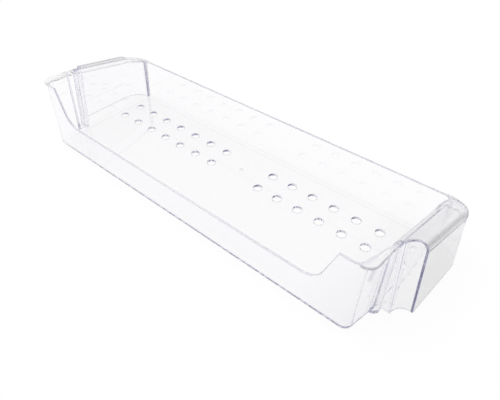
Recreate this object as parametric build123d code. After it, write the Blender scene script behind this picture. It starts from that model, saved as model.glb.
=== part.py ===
from build123d import *

import os
from math import radians, tan

# Clear moulded shelf for a refrigerator door, in one piece.  It is an open tub whose narrow back half slides
# between two upright ridges of the door liner.  The front half carries a hollow wing at each end, which hangs
# in front of a ridge and hooks behind it with a clip.
# X runs along the shelf, the door is at -Y, the front is at +Y and the floor's underside is at Z = 0.

# Overall sizes, in millimetres
LENGTH = 446.0  # over both wings, at the foot of their skirts
DEPTH = 144.0  # over the rims of the back and front walls
EAR_HEIGHT = 78.0  # raised ends of the back wall, the top of the part
FRONT_HEIGHT = 51.0  # front wall
SIDE_FRONT_HEIGHT = 61.5  # side rim where it begins to dip towards the front wall
BACK_HEIGHT = 37.5  # low middle of the back wall

# Walls and leans, in millimetres and degrees
WALL = 2.5
FLOOR = 2.5
TUB_DRAFT = 1.2  # the tub's walls lean out upwards
WING_LEAN = 4.0  # the wings' skirts lean in upwards

# Tub, at floor level
WING_WIDTH = 24.0  # along X, from the tub's end wall to the foot of the skirt
BACK_TAPER = 3.5  # along X, by which each end wall closes in towards the back corner
BACK_CORNER = 7.5  # outer radius of the upright back corners
FRONT_CORNER = 4.0  # inner radius of the upright front corners
FLOOR_FILLET = 3.0  # between the floor and the walls, inside
BOTTOM_ROUND = 4.0  # along the lower outer edges

# Back wall's cut-out between the ears
EAR_WIDTH = 17.5  # along X at an ear's top, from the back corner's foot
EAR_SLANT = 21.0  # degrees from upright
EAR_FOOT_RADIUS = 20.0

# Rim of each end, along Y
SLOPE_SETBACK = 26.0  # where the level rim begins to slope, in front of the back wall's foot
DIP_SETBACK = 26.0  # where it begins to dip more steeply, behind the front wall's foot
RIM_BEND = 20.0  # radius of the bends at both places
FRONT_BEND = 12.0  # radius where the dip runs out into the front wall's rim
RIM_CHAMFER = 0.7  # along the edges of the rims
END_ROUND = 5.0  # along the end's inner edge, where the end wall bends over into the wing's top and the lip
FRONT_FADE = 36.0  # stretch over which that round dies out towards the front corner
BACK_FADE = 12.0  # and towards the back corner
LIP_OVERHANG = 5.0  # along X, lip behind the clip past the end wall
LIP_CORNER = 9.0

# Clip and bulge of each end, along Y from the back wall's foot
CLIP_SETBACK = 39.5  # to the back of the clip
CLIP_OVERHANG = 11.5  # along X, clip's tip past the end wall
CLIP_STEP = 13.0  # skirt's free edge in front of the clip's back
CLIP_RADIUS = 11.0  # round seat between the clip's tip and the skirt's edge
BULGE_SETBACK = 34.0  # to the axis of the half-round bulge
BULGE_RADIUS = 6.5
BULGE_INSET = 1.5  # bulge's axis inside the end wall's outer face
BULGE_FOOT = 2.5  # height of its flat foot above the floor's underside

# Wing
WING_CORNER = 23.0  # upright front corner in plan
SHOULDER = 9.0  # round between the wing's top and its skirt

# Drain holes in the floor, and the mark of the moulding gate
HOLE_DIAMETER = 9.5
HOLE_PITCH = 25.0
HOLE_ROWS = 2
HOLE_MIDDLE_GAP = 66.0  # between the two innermost columns
HOLE_END_MARGIN = 15.0  # least distance from a hole's axis to the end wall's outer face
HOLE_SETBACK = 28.0  # front row's axis behind the front wall's foot
GATE_DIAMETER = 4.0
GATE_DEPTH = 0.5

# Places worked out from the sizes above
draft_run = tan(radians(TUB_DRAFT))
lean_run = tan(radians(WING_LEAN))
skirt_x = LENGTH / 2
tub_x = skirt_x - WING_WIDTH
back_x = tub_x - BACK_TAPER
void_x = back_x - 2 * WALL  # inside the tub, clear of the end walls
root_x = tub_x - WALL / 2  # within the end wall, where the wing begins
ear_x = back_x - EAR_WIDTH
lip_x = tub_x + LIP_OVERHANG
clip_x = tub_x + CLIP_OVERHANG
back_y = -DEPTH / 2 + EAR_HEIGHT * draft_run
front_y = DEPTH / 2 - FRONT_HEIGHT * draft_run
clip_y = back_y + CLIP_SETBACK
step_y = clip_y + CLIP_STEP
bulge_y = back_y + BULGE_SETBACK
slope_y = back_y + SLOPE_SETBACK
dip_y = front_y - DIP_SETBACK
reach = LENGTH + DEPTH  # longer than any cut

# Faces are told apart by their unit normals
facing = 0.5  # least part of the normal along the way that a face looks
upright = 0.1  # greatest upward part of an upright wall's normal


def leaning_prism(plan, height, run_x, run_y):
    """Extrude a plan upwards to a height, with its walls leaning by a run per unit of height."""
    travel = Vector(run_x * height, run_y * height, height)
    return extrude(plan, amount=travel.length, dir=travel)


def drafted(solid):
    """Lean the upright walls of a solid outwards from the floor."""
    walls = [face for face in solid.faces() if abs(face.normal_at().Z) < facing]
    return draft(walls, Plane.XY, -TUB_DRAFT)


def both_ends(right):
    """A right-hand solid with its mirror image at the left end."""
    return right + mirror(right, Plane.YZ)


def looks_right(side):
    return side.normal_at().X > facing


def looks_left(side):
    return side.normal_at().X < -facing


def eased(block, ease, looks, size):
    """Fillet or chamfer the edges between the top of a block and those sides that look a given way."""
    tops = ShapeList(face for face in block.faces() if face.normal_at().Z > facing)
    sides = ShapeList(face for face in block.faces() if looks(face))
    return ease(tops.edges() & sides.edges(), size)


def tub_plan(inset):
    """Outline of the tub at floor level, drawn in by inset: the end walls close in behind the clips."""
    right = [
        (back_x - inset, back_y + inset),
        (tub_x - inset, bulge_y),
        (tub_x - inset, front_y - inset),
    ]
    left = [(-x, y) for x, y in reversed(right)]
    plan = make_face(Polyline(*right, *left, close=True))
    return fillet(plan.vertices().group_by(Axis.Y)[0], BACK_CORNER - inset)


def rim_prism(drop):
    """Everything below the end's rim lowered by drop: level, then sloping, then dipping to the front wall."""
    start = (slope_y, EAR_HEIGHT - drop)
    bend = (dip_y, SIDE_FRONT_HEIGHT - drop)
    end = (front_y - WALL, FRONT_HEIGHT - drop)
    outline = Polyline(
        (-reach, -reach),
        (reach, -reach),
        (reach, FRONT_HEIGHT - drop),
        end,
        bend,
        start,
        (-reach, EAR_HEIGHT - drop),
        close=True,
    )
    profile = make_face(Plane.YZ * outline)
    for place, radius in ((start, RIM_BEND), (bend, RIM_BEND), (end, FRONT_BEND)):
        profile = fillet(profile.vertices().sort_by_distance((0, *place))[0], radius)
    return extrude(profile, reach, both=True)


def clip_seat(inset):
    """Room behind the right skirt for the door's ridge: a quarter-round seat beside the clip's tip."""
    corner = (clip_x - inset, step_y + inset)
    room = Pos(*corner) * Rectangle(reach, reach, align=(Align.MIN, Align.MAX))
    return fillet(room.vertices().sort_by_distance((*corner, 0))[0], CLIP_RADIUS + inset)


def wing_plan(inset):
    """Outline of the right wing at its foot, with the clip's seat cut out of its back."""
    corner = (skirt_x - inset, front_y - inset)
    outline = Polyline(
        (root_x, clip_y + inset),
        (skirt_x - inset, clip_y + inset),
        corner,
        (root_x, front_y - inset),
        close=True,
    )
    plan = make_face(outline)
    plan = fillet(plan.vertices().sort_by_distance((*corner, 0))[0], WING_CORNER - inset)
    return plan - clip_seat(inset)


def wing(inset):
    """Right wing drawn in by inset: the outside with none, the hollow under it with the wall.

    A round shoulder joins its top to the skirt.
    """
    strip = Pos(root_x, 0) * Rectangle(skirt_x - inset - root_x, 2 * DEPTH, align=(Align.MIN, Align.CENTER))
    block = leaning_prism(strip, EAR_HEIGHT, -lean_run, 0) & rim_prism(inset)
    block = eased(block, fillet, looks_right, SHOULDER - inset)
    return block & leaning_prism(wing_plan(inset), EAR_HEIGHT, -lean_run, draft_run)


def lip():
    """Lip on the right end wall's rim, behind the clip: level, then following the rim's slope."""
    back = -DEPTH / 2 + WALL / 2
    front = clip_y + WALL
    plan = Pos(void_x, back) * Rectangle(lip_x - void_x, front - back, align=Align.MIN)
    plan = fillet(plan.vertices().sort_by_distance((lip_x, back, 0))[0], LIP_CORNER)
    return extrude(plan, EAR_HEIGHT) - rim_prism(WALL)


def bulge(inset):
    """Upright half-round bulge of the right end wall; drawn in, it is the groove on the inside."""
    shaft = Cylinder(BULGE_RADIUS - inset, EAR_HEIGHT, align=(Align.CENTER, Align.CENTER, Align.MIN))
    return Pos(tub_x - BULGE_INSET, bulge_y, BULGE_FOOT + inset) * shaft


def end_sliver(ease, size, inset, end, fade):
    """Sliver that a fillet or chamfer takes off the top edge of the right end wall, from the bulge to an end.

    With the wall as inset it lies along the inner edge.  With none it fills the corner on the outside, under
    the wing's top or the lip.  Its edge bows away from the wall over the fade, so that it dies out.
    """
    start = Vector(tub_x - inset, bulge_y)
    along = (Vector(*end) - start).normalized()
    turn = Vector(*end) - along * fade
    away = Vector(*end) - Vector(size, 0)
    edge = Line(start, turn) + TangentArc(turn, away, tangent=along)
    plan = make_face(edge + Polyline(away, (reach, away.Y), (reach, start.Y), start))
    block = leaning_prism(plan, EAR_HEIGHT, draft_run / abs(along.Y), 0) & rim_prism(WALL - inset)
    return block - eased(block, ease, looks_left, size)


def ear_cut():
    """Opening between the ears of the back wall, down to its low middle."""
    top_z = 2 * EAR_HEIGHT - BACK_HEIGHT
    slant_run = tan(radians(EAR_SLANT))
    top_x = ear_x + slant_run * (top_z - EAR_HEIGHT)
    foot_x = ear_x - slant_run * (EAR_HEIGHT - BACK_HEIGHT)
    outline = Polyline(
        (-foot_x, BACK_HEIGHT),
        (foot_x, BACK_HEIGHT),
        (top_x, top_z),
        (-top_x, top_z),
        close=True,
    )
    profile = make_face(Plane.XZ * outline)
    profile = fillet(profile.vertices().group_by(Axis.Z)[0], EAR_FOOT_RADIUS)
    return extrude(profile, reach)


def drain_holes():
    """Two rows of drain holes through the floor, with a plain stretch in the middle."""
    columns = 1 + int((tub_x - HOLE_END_MARGIN - HOLE_MIDDLE_GAP / 2) / HOLE_PITCH)
    half_row = [HOLE_MIDDLE_GAP / 2 + HOLE_PITCH * column for column in range(columns)]
    rows = [front_y - HOLE_SETBACK - HOLE_PITCH * row for row in range(HOLE_ROWS)]
    places = [(side * x, y) for side in (-1, 1) for x in half_row for y in rows]
    return [Pos(x, y) * Cylinder(HOLE_DIAMETER / 2, 4 * FLOOR) for x, y in places]


def gate_mark():
    """Shallow dimple under the floor, midway between the rows, where the plastic was let in."""
    middle_y = front_y - HOLE_SETBACK - HOLE_PITCH * (HOLE_ROWS - 1) / 2
    return Pos(0, middle_y) * Cylinder(GATE_DIAMETER / 2, 2 * GATE_DEPTH)


def tub_outside():
    """Solid block of the tub up to the ears, with rounds along its lower edges."""
    block = drafted(extrude(tub_plan(0), EAR_HEIGHT))
    return fillet(block.faces().sort_by(Axis.Z)[0].edges(), BOTTOM_ROUND)


def tub_inside():
    """Space inside the tub, open upwards, with rounds along the floor."""
    plan = tub_plan(WALL)
    plan = fillet(plan.vertices().group_by(Axis.Y)[-1], FRONT_CORNER)
    space = drafted(extrude(plan, 2 * EAR_HEIGHT)) - Box(reach, reach, 2 * FLOOR)
    return fillet(space.faces().sort_by(Axis.Z)[0].edges(), FLOOR_FILLET)


def looks_forward(wall):
    return wall.normal_at().Y > facing


def looks_inward(wall):
    outward = wall.normal_at().X * wall.center().X + wall.normal_at().Y * wall.center().Y
    return outward < 0 and wall.center().Y < front_y


def looks_at_door(wall):
    return wall.normal_at().Y < -facing and wall.center().Y < back_y


def break_rim(body, looks):
    """Chamfer the edges between the rims and those upright walls that look a given way."""
    high = ShapeList(face for face in body.faces() if face.center().Z > BACK_HEIGHT / 2)
    rims = ShapeList(face for face in high if face.normal_at().Z > facing)
    walls = ShapeList(face for face in body.faces() if abs(face.normal_at().Z) < upright and looks(face))
    return chamfer(rims.edges() & walls.edges(), RIM_CHAMFER)


def door_shelf():
    """The whole shelf as one solid."""
    rim = rim_prism(0)
    hollow = wing(WALL) - tub_outside()
    end = lip() + (bulge(0) & rim_prism(WALL)) + wing(0)
    tub = break_rim(tub_outside() & rim, looks_forward)
    body = tub + (both_ends(end) & rim)
    body = body - both_ends(hollow) - tub_inside() - both_ends(bulge(WALL)) - ear_cut()
    body = break_rim(break_rim(body, looks_inward), looks_at_door)
    front_end = front_y - WALL - FRONT_CORNER
    back_end = back_y + BACK_CORNER
    for wall_x, end_y, fade in ((tub_x, front_end, FRONT_FADE), (back_x, back_end, BACK_FADE)):
        body = body + both_ends(end_sliver(chamfer, END_ROUND - WALL, 0, (wall_x, end_y), fade))
        body = body - both_ends(end_sliver(fillet, END_ROUND, WALL, (wall_x - WALL, end_y), fade))
    return body - drain_holes() - gate_mark()


os.makedirs("parts", exist_ok=True)
export_step(door_shelf(), "parts/door_shelf.step")
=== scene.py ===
"""Clear moulded refrigerator door shelf on a white studio floor."""

from math import cos, radians, sin

import bpy
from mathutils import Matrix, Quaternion, Vector

# Camera, at the photograph's viewing angle
CAMERA_PLACE = (0.2923, -0.3080, 0.3430)
CAMERA_AZIMUTH = 47.95
CAMERA_ELEVATION = 41.90
CAMERA_ROLL = -3.73
CAMERA_SENSOR = 36.0
CAMERA_LENS = 37.38
CAMERA_SHIFT = (0.1148, 0.0246)
CAMERA_NEAR = 0.01

# Floor, just under the part. Painted shade: what shows in the part and through it is less white towards its
# right end, standing in for shade there
FLOOR_SIZE = 8.0
FLOOR_GAP = 0.0004
FLOOR_WHITE = 0.95
FLOOR_GLOW = 0.94
FLOOR_PAINTED_SHADE = 0.80
PAINTED_SHADE_RANGE = (0.14, 0.21)

# Studio light: a sky that is brightest halfway up, and a lamp
SKY_HORIZON = 0.45
SKY_BRIGHT = 1.0
SKY_ZENITH = 0.8
SKY_RISE = (0.2, 0.6)
SKY_FALL = (0.75, 0.95)
LAMP_PLACE = (-0.3, -0.2, 1.2)
LAMP_SIZE = 0.9
LAMP_POWER = 6.0
LIGHT_BOUNCES = 128

# Clear plastic
PLASTIC_COLOUR = (0.994, 0.993, 1.0)
PLASTIC_IOR = 1.56
PLASTIC_TINT = (0.50, 0.49, 0.68, 1.0)
PLASTIC_DENSITY = 7.2
HAZE_SCALE = 45.0
HAZE_DETAIL = 4.0
HAZE_ROUGHNESS = (0.01, 0.05)
RIPPLE_SCALE = 28.0
RIPPLE_DETAIL = 1.0
RIPPLE_DEPTH = 0.00002
EDGE_ROUND = 0.001
EDGE_SAMPLES = 4

# Distance over which one finish turns into the next
FADE = 0.001

# Top faces: how far they look up, and how high they are at least
TOP_UP = (0.3, 0.5)
TOP_HEIGHT = 0.03

# Satin on the rims of the back and front walls: how far it runs to the ends, where it lies, and its share
RIM_REACH = 0.203
BACK_RIM = -0.035
FRONT_RIM = 0.06
BACK_SATIN = 0.5
FRONT_SATIN = 0.35

# Softer polish on the tops of the ends
END_REACH = 0.190
END_FADE = 0.005
END_ROUGHNESS = 0.15

# Where the painted shade on the outside of the wings lies: where it starts, and how far its faces look out.
# Faces towards the door stay clear
WING_REACH = 0.212
WING_OUT = (0.05, 0.25)
WING_SEAT = (-0.3, -0.1)

# Painted shade on the wings' outside: grey tones by how far a face looks up, for skirt, foot of the
# shoulder, shoulder and top. They stand in for shade and dark surroundings, not for a colour of the plastic
WING_PAINTED_SHADE_TONES = ((0.09, 0.80), (0.12, 0.25), (0.20, 0.30), (0.28, 0.52), (0.60, 0.58), (0.85, 1.0))


def new_material(name):
    """An empty node material."""
    material = bpy.data.materials.new(name)
    material.use_nodes = True
    material.node_tree.nodes.clear()
    return material


def combine(tree, operation, first, second=None):
    """Result of one calculation with one or two sockets, or with a socket and a number."""
    node = tree.nodes.new("ShaderNodeMath")
    node.operation = operation
    tree.links.new(first, node.inputs[0])
    if isinstance(second, float):
        node.inputs[1].default_value = second
    elif second is not None:
        tree.links.new(second, node.inputs[1])
    return node.outputs["Value"]


def stretch(tree, value, source, target=(0.0, 1.0)):
    """Map a socket from one range to another, held at the ends."""
    node = tree.nodes.new("ShaderNodeMapRange")
    node.inputs["From Min"].default_value, node.inputs["From Max"].default_value = source
    node.inputs["To Min"].default_value, node.inputs["To Max"].default_value = target
    tree.links.new(value, node.inputs["Value"])
    return node.outputs["Result"]


def split(tree, vector):
    """The three parts of a vector socket."""
    node = tree.nodes.new("ShaderNodeSeparateXYZ")
    tree.links.new(vector, node.inputs["Vector"])
    return node.outputs


def noise(tree, place, scale, detail):
    """Soft noise over the part, from 0 to 1."""
    node = tree.nodes.new("ShaderNodeTexNoise")
    node.inputs["Scale"].default_value = scale
    node.inputs["Detail"].default_value = detail
    tree.links.new(place, node.inputs["Vector"])
    return node.outputs["Fac"]


def plastic_colour_and_painted_shade(tree, spot, side, normal):
    """Nearly white plastic, with painted shade as grey tones on the wings' outside."""
    # Painted shade: grey tones by how far a face looks up, standing in for shade on the wings' outside
    painted_shade_tones = tree.nodes.new("ShaderNodeValToRGB")
    stops = painted_shade_tones.color_ramp.elements
    stops.remove(stops[1])
    for number, (height, shade_tone) in enumerate(WING_PAINTED_SHADE_TONES):
        stop = stops[0] if number == 0 else stops.new(height)
        stop.position = height
        stop.color = [shade_tone * share for share in PLASTIC_COLOUR] + [1.0]
    tree.links.new(normal["Z"], painted_shade_tones.inputs["Fac"])

    # Where the painted shade lies: the outward faces of the wings, away from the door
    outwards = combine(tree, "MULTIPLY", normal["X"], combine(tree, "SIGN", spot["X"]))
    painted_shade_mask = stretch(tree, side, (WING_REACH - FADE, WING_REACH))
    painted_shade_mask = combine(tree, "MULTIPLY", painted_shade_mask, stretch(tree, outwards, WING_OUT))
    painted_shade_mask = combine(tree, "MULTIPLY", painted_shade_mask, stretch(tree, normal["Y"], WING_SEAT))

    mix = tree.nodes.new("ShaderNodeMix")
    mix.data_type = "RGBA"
    tree.links.new(painted_shade_mask, mix.inputs["Factor"])
    plain, painted_shade_input = [socket for socket in mix.inputs if socket.type == "RGBA"]
    plain.default_value = (*PLASTIC_COLOUR, 1.0)
    tree.links.new(painted_shade_tones.outputs["Color"], painted_shade_input)
    return [socket for socket in mix.outputs if socket.type == "RGBA"][0]


def moulded_normal(tree, place):
    """Softly rounded edges and a faint moulding ripple."""
    edge = tree.nodes.new("ShaderNodeBevel")
    edge.samples = EDGE_SAMPLES
    edge.inputs["Radius"].default_value = EDGE_ROUND
    bump = tree.nodes.new("ShaderNodeBump")
    bump.inputs["Distance"].default_value = RIPPLE_DEPTH
    tree.links.new(edge.outputs["Normal"], bump.inputs["Normal"])
    tree.links.new(noise(tree, place, RIPPLE_SCALE, RIPPLE_DETAIL), bump.inputs["Height"])
    return bump.outputs["Normal"]


def clear_plastic():
    """Glossy clear plastic with satin rims, painted shade on the wings' outside, and a violet cast that
    deepens with the length of plastic.
    """
    material = new_material("clear_plastic_moulded")
    tree = material.node_tree
    nodes, links = tree.nodes, tree.links
    place = nodes.new("ShaderNodeTexCoord").outputs["Object"]
    normal = split(tree, nodes.new("ShaderNodeNewGeometry").outputs["Normal"])
    spot = split(tree, place)
    side = combine(tree, "ABSOLUTE", spot["X"])

    up = stretch(tree, normal["Z"], TOP_UP)
    high = stretch(tree, spot["Z"], (TOP_HEIGHT - FADE, TOP_HEIGHT))
    top = combine(tree, "MULTIPLY", up, high)

    end = stretch(tree, side, (END_REACH, END_REACH + END_FADE), (0.0, END_ROUGHNESS))
    film = stretch(tree, noise(tree, place, HAZE_SCALE, HAZE_DETAIL), (0.0, 1.0), HAZE_ROUGHNESS)
    roughness = combine(tree, "MAXIMUM", film, combine(tree, "MULTIPLY", top, end))

    back = stretch(tree, spot["Y"], (BACK_RIM, BACK_RIM + FADE), (BACK_SATIN, 0.0))
    front = stretch(tree, spot["Y"], (FRONT_RIM, FRONT_RIM + FADE), (0.0, FRONT_SATIN))
    inside = stretch(tree, side, (RIM_REACH, RIM_REACH + FADE), (1.0, 0.0))
    rim = combine(tree, "MULTIPLY", combine(tree, "MAXIMUM", back, front), inside)
    satin = combine(tree, "MULTIPLY", top, rim)

    surface = nodes.new("ShaderNodeBsdfPrincipled")
    surface.inputs["IOR"].default_value = PLASTIC_IOR
    # The Base Color carries the painted shade on the wings' outside
    links.new(plastic_colour_and_painted_shade(tree, spot, side, normal), surface.inputs["Base Color"])
    links.new(roughness, surface.inputs["Roughness"])
    links.new(stretch(tree, satin, (0.0, 1.0), (1.0, 0.0)), surface.inputs["Transmission Weight"])
    links.new(moulded_normal(tree, place), surface.inputs["Normal"])

    depth = nodes.new("ShaderNodeVolumeAbsorption")
    depth.inputs["Color"].default_value = PLASTIC_TINT
    depth.inputs["Density"].default_value = PLASTIC_DENSITY

    output = nodes.new("ShaderNodeOutputMaterial")
    links.new(surface.outputs["BSDF"], output.inputs["Surface"])
    links.new(depth.outputs["Volume"], output.inputs["Volume"])
    return material


def floor_material():
    """White floor that the camera sees as nearly evenly lit; in reflections and through the clear plastic
    it has painted shade, less white towards the part's right end.
    """
    material = new_material("studio_floor")
    tree = material.node_tree
    nodes, links = tree.nodes, tree.links
    paint = nodes.new("ShaderNodeBsdfDiffuse")
    paint.inputs["Color"].default_value = (FLOOR_WHITE, FLOOR_WHITE, FLOOR_WHITE, 1.0)
    glow = nodes.new("ShaderNodeEmission")
    glow.inputs["Color"].default_value = (1.0, 1.0, 1.0, 1.0)

    ray = nodes.new("ShaderNodeLightPath").outputs
    spot = split(tree, nodes.new("ShaderNodeTexCoord").outputs["Object"])
    # Painted shade: the glow share seen in reflections and through the part falls towards its right end
    painted_floor_shade = stretch(tree, spot["X"], PAINTED_SHADE_RANGE, (FLOOR_GLOW, FLOOR_PAINTED_SHADE))
    through = combine(tree, "MAXIMUM", ray["Is Glossy Ray"], ray["Is Transmission Ray"])
    in_part = combine(tree, "MULTIPLY", through, painted_floor_shade)
    seen = combine(tree, "MULTIPLY", ray["Is Camera Ray"], FLOOR_GLOW)

    mix = nodes.new("ShaderNodeMixShader")
    links.new(combine(tree, "MAXIMUM", seen, in_part), mix.inputs["Fac"])
    links.new(paint.outputs["BSDF"], mix.inputs[1])
    links.new(glow.outputs["Emission"], mix.inputs[2])
    output = nodes.new("ShaderNodeOutputMaterial")
    links.new(mix.outputs["Shader"], output.inputs["Surface"])
    return material


def add_floor():
    """Wide white floor under the part."""
    bpy.ops.mesh.primitive_plane_add(size=FLOOR_SIZE, location=(0.0, 0.0, -FLOOR_GAP))
    floor = bpy.context.object
    floor.name = "studio_floor"
    floor.data.materials.append(floor_material())


def add_sky():
    """Soft white light from halfway up, dimmer at the horizon and overhead; the camera sees plain white."""
    world = bpy.data.worlds.new("studio_sky")
    bpy.context.scene.world = world
    world.use_nodes = True
    tree = world.node_tree
    tree.nodes.clear()
    way = split(tree, tree.nodes.new("ShaderNodeTexCoord").outputs["Generated"])
    rise = stretch(tree, way["Z"], SKY_RISE, (SKY_HORIZON, SKY_BRIGHT))
    fall = stretch(tree, way["Z"], SKY_FALL, (SKY_BRIGHT, SKY_ZENITH))
    light = combine(tree, "MINIMUM", rise, fall)
    camera_ray = tree.nodes.new("ShaderNodeLightPath").outputs["Is Camera Ray"]
    sky = tree.nodes.new("ShaderNodeBackground")
    tree.links.new(combine(tree, "MAXIMUM", light, camera_ray), sky.inputs["Color"])
    output = tree.nodes.new("ShaderNodeOutputWorld")
    tree.links.new(sky.outputs["Background"], output.inputs["Surface"])


def add_lamp():
    """Large soft lamp above the part, which leaves no glare on its flat faces."""
    lamp = bpy.data.lights.new("soft_lamp", "AREA")
    lamp.shape = "SQUARE"
    lamp.size = LAMP_SIZE
    lamp.energy = LAMP_POWER
    lamp_object = bpy.data.objects.new("soft_lamp", lamp)
    lamp_object.location = LAMP_PLACE
    lamp_object.rotation_mode = "QUATERNION"
    lamp_object.rotation_quaternion = (-lamp_object.location).to_track_quat("-Z", "Y")
    lamp_object.visible_glossy = False
    lamp_object.visible_transmission = False
    bpy.context.scene.collection.objects.link(lamp_object)


def add_camera():
    """Camera at the photograph's place and angle."""
    azimuth, elevation = radians(CAMERA_AZIMUTH), radians(CAMERA_ELEVATION)
    look = Vector((-sin(azimuth) * cos(elevation), cos(azimuth) * cos(elevation), -sin(elevation)))
    lens = bpy.data.cameras.new("photo_camera")
    lens.sensor_width = CAMERA_SENSOR
    lens.lens = CAMERA_LENS
    lens.shift_x, lens.shift_y = CAMERA_SHIFT
    lens.clip_start = CAMERA_NEAR
    camera = bpy.data.objects.new("photo_camera", lens)
    camera.location = CAMERA_PLACE
    camera.rotation_mode = "QUATERNION"
    level = look.to_track_quat("-Z", "Y")
    camera.rotation_quaternion = level @ Quaternion((0.0, 0.0, 1.0), radians(CAMERA_ROLL))
    bpy.context.scene.collection.objects.link(camera)
    bpy.context.scene.camera = camera


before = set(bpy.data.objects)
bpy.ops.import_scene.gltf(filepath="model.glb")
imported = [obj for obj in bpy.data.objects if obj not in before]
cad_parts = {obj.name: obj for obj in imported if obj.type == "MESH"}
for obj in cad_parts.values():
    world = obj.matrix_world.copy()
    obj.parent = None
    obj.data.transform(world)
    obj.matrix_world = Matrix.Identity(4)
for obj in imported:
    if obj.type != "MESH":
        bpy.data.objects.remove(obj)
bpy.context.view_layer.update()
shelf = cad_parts["door_shelf"]
shelf.material_slots[0].material = clear_plastic()
add_floor()
add_sky()
add_lamp()
add_camera()
bpy.context.scene.view_settings.view_transform = "Standard"
bpy.context.scene.cycles.max_bounces = LIGHT_BOUNCES
bpy.context.scene.cycles.transmission_bounces = LIGHT_BOUNCES
bpy.context.scene.cycles.glossy_bounces = LIGHT_BOUNCES
